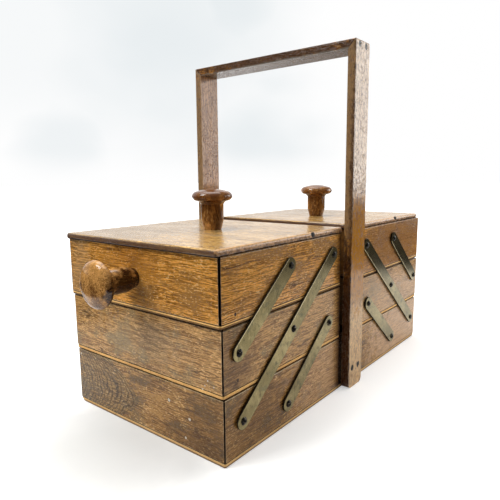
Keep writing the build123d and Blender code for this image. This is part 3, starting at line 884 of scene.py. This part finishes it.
def plain_finish(name, colour, roughness, speckle):
    """A small mark's finish: one colour, a little uneven."""
    material, tree, surface = new_material(name)
    uneven = mottle(tree, object_place(tree), 900, 3, 0.6)
    fill(tree, surface, {"Base Color": tint(tree, ramp(tree, uneven, 0.35, 0.65), colour, speckle),
                         "Roughness": roughness})
    return material


def make_mark_tree():
    """Small flattened drops, one at each point of the mesh it is given; each size is drawn at
    random."""
    tree = bpy.data.node_groups.new("marks", "GeometryNodeTree")
    for name, kind in (("Geometry", "NodeSocketGeometry"), ("Radius", "NodeSocketFloat"),
                       ("Flattened", "NodeSocketVector"), ("Seed", "NodeSocketInt"),
                       ("Finish", "NodeSocketMaterial")):
        tree.interface.new_socket(name, in_out="INPUT", socket_type=kind)
    tree.interface.new_socket("Geometry", in_out="OUTPUT", socket_type="NodeSocketGeometry")
    given = node(tree, "NodeGroupInput").outputs

    def step(kind, inputs, **settings):
        return node(tree, "GeometryNode" + kind, inputs, **settings).outputs[0]

    def scaled(vector, scale):
        inputs = {0: vector, "Scale": scale}
        return node(tree, "VectorMath", inputs, operation="SCALE").outputs[0]

    points = step("MeshToPoints", {"Mesh": given["Geometry"]})
    drop = step("MeshIcoSphere", {"Radius": given["Radius"], "Subdivisions": 3})
    bumps = node(tree, "TexNoise", {"Scale": LUMP_SCALE}).outputs[0]
    lumpy = step("SetPosition", {"Geometry": drop, "Offset": scaled(bumps, LUMP_HEIGHT)})
    sizes = node(tree, "FunctionNodeRandomValue", data_type="FLOAT")
    fill(tree, sizes.inputs, {"Min": MARK_SIZES[0], "Max": MARK_SIZES[1], "Seed": given["Seed"]})
    scale = scaled(given["Flattened"], sizes.outputs["Value"])
    drops = step("InstanceOnPoints", {"Points": points, "Instance": lumpy, "Scale": scale})
    real = step("RealizeInstances", {0: drops})
    painted = step("SetMaterial", {"Geometry": real, "Material": given["Finish"]})
    node(tree, "NodeGroupOutput", {0: painted})
    return tree


def make_marks():
    """Flecks of paint, nicks and small studs, made in place and riding on their bodies."""
    tree = make_mark_tree()
    sockets = {item.name: item.identifier for item in tree.interface.items_tree
               if item.item_type == "SOCKET" and item.in_out == "INPUT"}
    paint = plain_finish("old paint flecks", PAINT, 0.5, PAINT_DULL)
    nick = plain_finish("dark nicks", NICK, 0.85, NICK_BROWN)
    stud = plain_finish("blackened studs", STUD, 0.75, STUD_WORN)
    for name, cad_node, finish, radius, flattened, places in (
        ("paint_flecks_low", "bottom_box_left_end", paint, 0.0014, (0.12, 1.0, 1.0),
         ((-0.2090, -0.0369, 0.0401), (-0.2090, -0.0621, 0.0300), (-0.2090, -0.0567, 0.0114),
          (-0.2090, 0.0968, 0.0523))),
        ("paint_flecks_high", "left_middle_tray_outer_end", paint, 0.0009, (0.15, 1.0, 1.0),
         ((-0.2100, -0.0794, 0.0625), (-0.2100, -0.0853, 0.0709), (-0.2100, -0.0918, 0.0672),
          (-0.2100, -0.0820, 0.0660))),
        ("nicks_top", "left_top_tray_front", nick, 0.0013, (1.0, 0.12, 1.3),
         ((-0.1943, -0.1014, 0.1252),)),
        ("nicks_middle", "left_middle_tray_front", nick, 0.0013, (1.0, 0.12, 1.2),
         ((-0.1922, -0.1014, 0.0694),)),
        ("stud_left", "left_lid", stud, 0.0034, (1.0, 0.4, 0.7), ((-0.0764, -0.1004, 0.1770),)),
        ("stud_right", "right_lid", stud, 0.0034, (1.0, 0.4, 0.6), ((0.1317, -0.0985, 0.1778),)),
    ):
        mesh = bpy.data.meshes.new(name)
        mesh.from_pydata([Vector(place) for place in places], [], [])
        source = add_object(name + "_points", mesh)
        modifier = source.modifiers.new("marks", "NODES")
        modifier.node_group = tree
        for socket, value in (("Radius", radius), ("Flattened", flattened),
                              ("Seed", MARK_SEED), ("Finish", finish)):
            modifier[sockets[socket]] = value
        bpy.context.view_layer.update()
        ready = source.evaluated_get(bpy.context.evaluated_depsgraph_get())
        plain = bpy.data.meshes.new_from_object(ready)
        plain.name = name
        bpy.data.objects.remove(source)
        made = add_object(name, plain)
        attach(made, NODE_BODIES[cad_node])


# ---------------------------------------------------------------- stage

def make_floor():
    """White paper on a dark table. The camera sees white everywhere; reflections and bounced
    light see the table beyond the paper's front, right and left edges."""
    material = bpy.data.materials.new("white paper")
    tree = empty_tree(material)
    spot = object_place(tree)
    ray = node(tree, "LightPath").outputs
    camera_ray = ray["Is Camera Ray"]

    # where the dark table shows
    beyond = 0.0
    for place, outward in PAPER_EDGES:
        away = vector_maths(tree, "SUBTRACT", spot, (*place, 0))
        past = measure(tree, "DOT_PRODUCT", away, (*outward, 0))
        beyond = maths(tree, "MAXIMUM", beyond, ramp(tree, past, -0.02, 0.03))
    table = product(tree, beyond, maths(tree, "SUBTRACT", 1.0, camera_ray))

    # the carrier's own soft shades, for the camera only
    uneven = ramp(tree, mottle(tree, spot, 14, 3, 0.6), 0.3, 0.7, -0.08, 0.08)
    shade = 0.0
    for place, reach, depth in SHADES:
        away = maths(tree, "ADD", oval(tree, spot, (*place, 0), (*reach, 1)), uneven)
        shade = maths(tree, "MAXIMUM", shade, ramp(tree, away, 0.2, 1.25, depth, 0.0))
    paper = tint(tree, product(tree, shade, camera_ray), PAPER, PAPER_SHADE)
    matt = node(tree, "BsdfDiffuse", {"Color": tint(tree, table, paper, TABLE)})

    # what is seen directly or in a gloss glows, more so further away
    seen = maths(tree, "MAXIMUM", camera_ray, ray["Is Glossy Ray"], ray["Is Transmission Ray"])
    far = ramp(tree, measure(tree, "LENGTH", spot), 0.45, 1.1, 0.2, FAR_GLOW)
    glow = product(tree, far, maths(tree, "SUBTRACT", 1.0, table), seen)
    near = product(tree, camera_ray, NEAR_GLOW, maths(tree, "SUBTRACT", 1.0, shade))
    lift = node(tree, "Emission", {"Color": WHITE, "Strength": maths(tree, "MAXIMUM", glow, near)})
    both = node(tree, "AddShader", {0: matt.outputs[0], 1: lift.outputs[0]})
    node(tree, "OutputMaterial", {0: both.outputs[0]})

    mesh = bpy.data.meshes.new("floor")
    corners = [Vector((x * FLOOR_REACH, y * FLOOR_REACH, 0))
               for x, y in ((-1, -1), (1, -1), (1, 1), (-1, 1))]
    mesh.from_pydata(corners, [], [range(4)])
    mesh.materials.append(material)
    made = add_object("floor", mesh)


def make_world():
    """A pale backdrop behind the object, a light ceiling and a darker room on the other sides;
    the camera itself sees white all round, with a few faint clouds."""
    world = bpy.data.worlds.new("studio")
    bpy.context.scene.world = world
    tree = empty_tree(world)
    direction = node(tree, "TexCoord").outputs["Generated"]
    parts = split(tree, direction)
    towards = measure(tree, "DOT_PRODUCT", direction, BACKDROP_WAY)
    level = maths(tree, "MAXIMUM", ramp(tree, towards, 0.15, 0.6, 0.0, BACKDROP_LEVEL),
                  ramp(tree, parts[2], 0.35, 0.8, ROOM_LEVEL, CEILING_LEVEL))
    around = node(tree, "Background", {"Color": WHITE, "Strength": level})

    wisps = ramp(tree, mottle(tree, direction, (6, 6, 9), 2), 0.3, 0.7, -0.03, 0.03)
    shade = product(tree, ramp(tree, parts[0], 0.60, 0.86, 0.35, 0.0),
                    ramp(tree, parts[2], 0.02, 0.20))
    for centre, reach, share in CLOUDS:
        away = maths(tree, "ADD", measure(tree, "DISTANCE", direction, centre), wisps)
        shade = maths(tree, "MAXIMUM", shade, ramp(tree, away, 0.0, reach, share, 0.0))
    shade = product(tree, shade, ramp(tree, parts[2], -0.02, 0.06))
    colour = tint(tree, shade, WHITE, CLOUD_COLOUR)
    seen = node(tree, "Background", {"Color": colour, "Strength": 1.0})
    camera_ray = node(tree, "LightPath").outputs["Is Camera Ray"]
    mixed = node(tree, "MixShader", {0: camera_ray, 1: around.outputs[0], 2: seen.outputs[0]})
    node(tree, "OutputWorld", {0: mixed.outputs[0]})


def make_lamps():
    """Soft boxes that the camera doesn't see."""
    for name, place, target, (width, height), power, colour in LAMPS:
        lamp = bpy.data.lights.new(name, "AREA")
        lamp.shape = "RECTANGLE"
        lamp.size, lamp.size_y = width, height
        lamp.energy = power
        lamp.color = colour
        made = add_object(name, lamp)
        made.location = place
        heading = Vector(target) - Vector(place)
        made.rotation_euler = heading.to_track_quat("-Z", "Y").to_euler()
        made.visible_camera = False


def make_camera():
    """The one camera, turned by its heading, dip and roll."""
    heading, dip, roll = CAMERA_HEADING, CAMERA_DIP, CAMERA_ROLL
    forward = Vector((cos(dip) * cos(heading), cos(dip) * sin(heading), -sin(dip)))
    level_right = Vector((sin(heading), -cos(heading), 0))
    level_up = level_right.cross(forward)
    right = cos(roll) * level_right + sin(roll) * level_up
    up = cos(roll) * level_up - sin(roll) * level_right
    data = bpy.data.cameras.new("camera")
    data.lens = CAMERA_LENS
    data.sensor_width = CAMERA_SENSOR
    data.sensor_fit = "HORIZONTAL"
    data.clip_start = NEAREST_SEEN
    made = add_object("camera", data)
    matrix = Matrix((right, up, -forward)).transposed().to_4x4()
    matrix.translation = Vector(CAMERA_PLACE)
    made.matrix_world = matrix
    bpy.context.scene.camera = made


dress_carcase()
dress_lids()
dress_handle()
dress_metal()
make_marks()
make_floor()
make_world()
make_lamps()
make_camera()
bpy.context.scene.view_settings.view_transform = "Standard"
